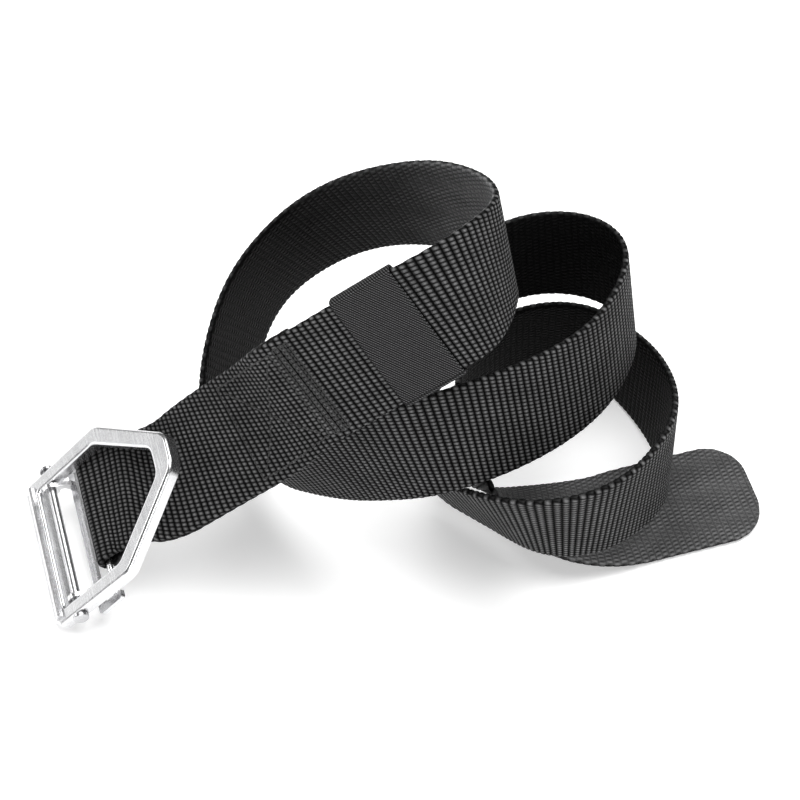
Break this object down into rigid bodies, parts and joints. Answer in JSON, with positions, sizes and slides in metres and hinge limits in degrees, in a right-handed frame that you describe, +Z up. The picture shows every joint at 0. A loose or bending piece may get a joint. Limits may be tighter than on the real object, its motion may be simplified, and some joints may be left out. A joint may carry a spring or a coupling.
{
  "type": "webbing belt",
  "caption": "Coiled heavy webbing belt with a cam-lever quick-release buckle, sewn fold, elastic keeper loop and rounded free end.",
  "frame": {"origin": "middle of the footprint, on the surface the coil rests on", "axes": "+Z up; +X from the buckle towards the free end; +Y away from the side the first strand faces"},
  "size_m": [0.3088, 0.1446, 0.1824],
  "materials": {
    "webbing": "coarse ribbed weave",
    "steel": "satin",
    "elastic": "fine diagonal twill",
    "thread": "sewing thread"
  },
  "bodies": {
    "strap": {"webbing_strap": "webbing", "box_stitch": "thread", "cross_stitch": "thread", "bar_tack": "thread"},
    "base": {"buckle_base": "steel", "pivot_pin": "steel"},
    "lever": {"buckle_lever": "steel"},
    "keeper": {"keeper_loop": "elastic", "keeper_seam": "thread"}
  },
  "joints": [
    {"name": "buckle_swing", "type": "hinge", "parent": "strap", "child": "base", "pos_m": [-0.1228, -0.02421, 0.02044], "axis": [0.2343, -0.9701, -0.0641], "range_deg": [0, 35]},
    {"name": "lever_hinge", "type": "hinge", "parent": "base", "child": "lever", "pos_m": [-0.13844, -0.0276, 0.01458], "axis": [0.2343, -0.9701, -0.0641], "range_deg": [0, 85]},
    {"name": "keeper_slide", "type": "slide", "parent": "strap", "child": "keeper", "axis": [0.7928, 0.109, 0.5996], "range_m": [-0.018, 0.001]}
  ]
}
